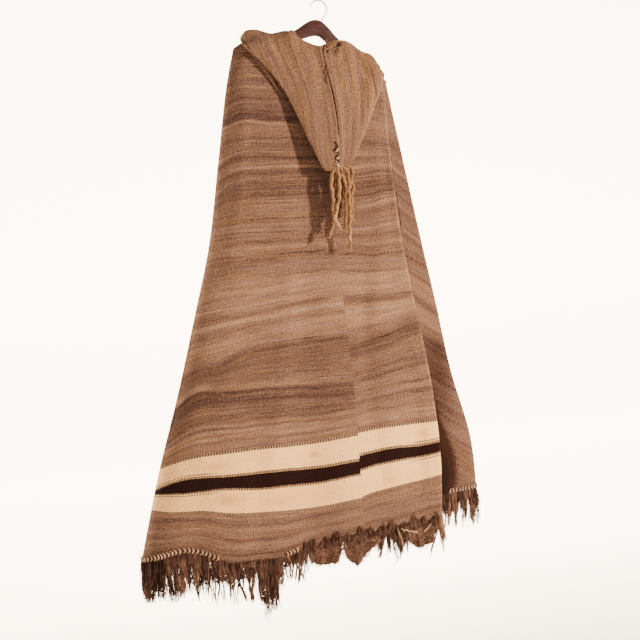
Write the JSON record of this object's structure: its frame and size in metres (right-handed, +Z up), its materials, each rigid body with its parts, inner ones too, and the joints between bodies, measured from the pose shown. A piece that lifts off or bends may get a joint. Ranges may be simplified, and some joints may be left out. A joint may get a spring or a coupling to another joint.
{
  "type": "hooded cloak on a clothes hanger",
  "caption": "Long hooded wool cloak with banded hem, fringe and hood tassel, hung by its shoulders on a wooden clothes hanger with a metal hook.",
  "frame": {"origin": "inner top of the hanger's hook, where it rests on a rail", "axes": "+Z up; -Y out of the cloak's back; +X to the right of someone who looks at its back"},
  "size_m": [0.8973, 0.1526, 1.4837],
  "materials": {
    "wool": "hand-woven weft-faced wool",
    "hood_wool": "hand-woven weft-faced wool",
    "fringe_wool": "matted dark wool",
    "cord_wool": "two-ply twisted wool",
    "braid_wool": "braided wool",
    "dark_wood": "varnished",
    "hook_steel": "plated"
  },
  "bodies": {
    "root": {"hanger": "dark_wood", "hook": "hook_steel", "back_left": "wool", "back_right": "wool", "front_left": "wool", "front_right": "wool", "hood": "hood_wool", "tassel": "cord_wool", "fringe_back_left": "fringe_wool", "fringe_back_middle": "fringe_wool", "fringe_back_corner": "fringe_wool", "fringe_front_left": "fringe_wool", "fringe_side_right": "fringe_wool", "fringe_front_right": "fringe_wool", "felt_flap_1": "fringe_wool", "felt_flap_2": "fringe_wool", "felt_flap_3": "fringe_wool", "braid_left": "braid_wool", "braid_patch": "braid_wool", "braid_right": "braid_wool"}
  },
  "joints": []
}
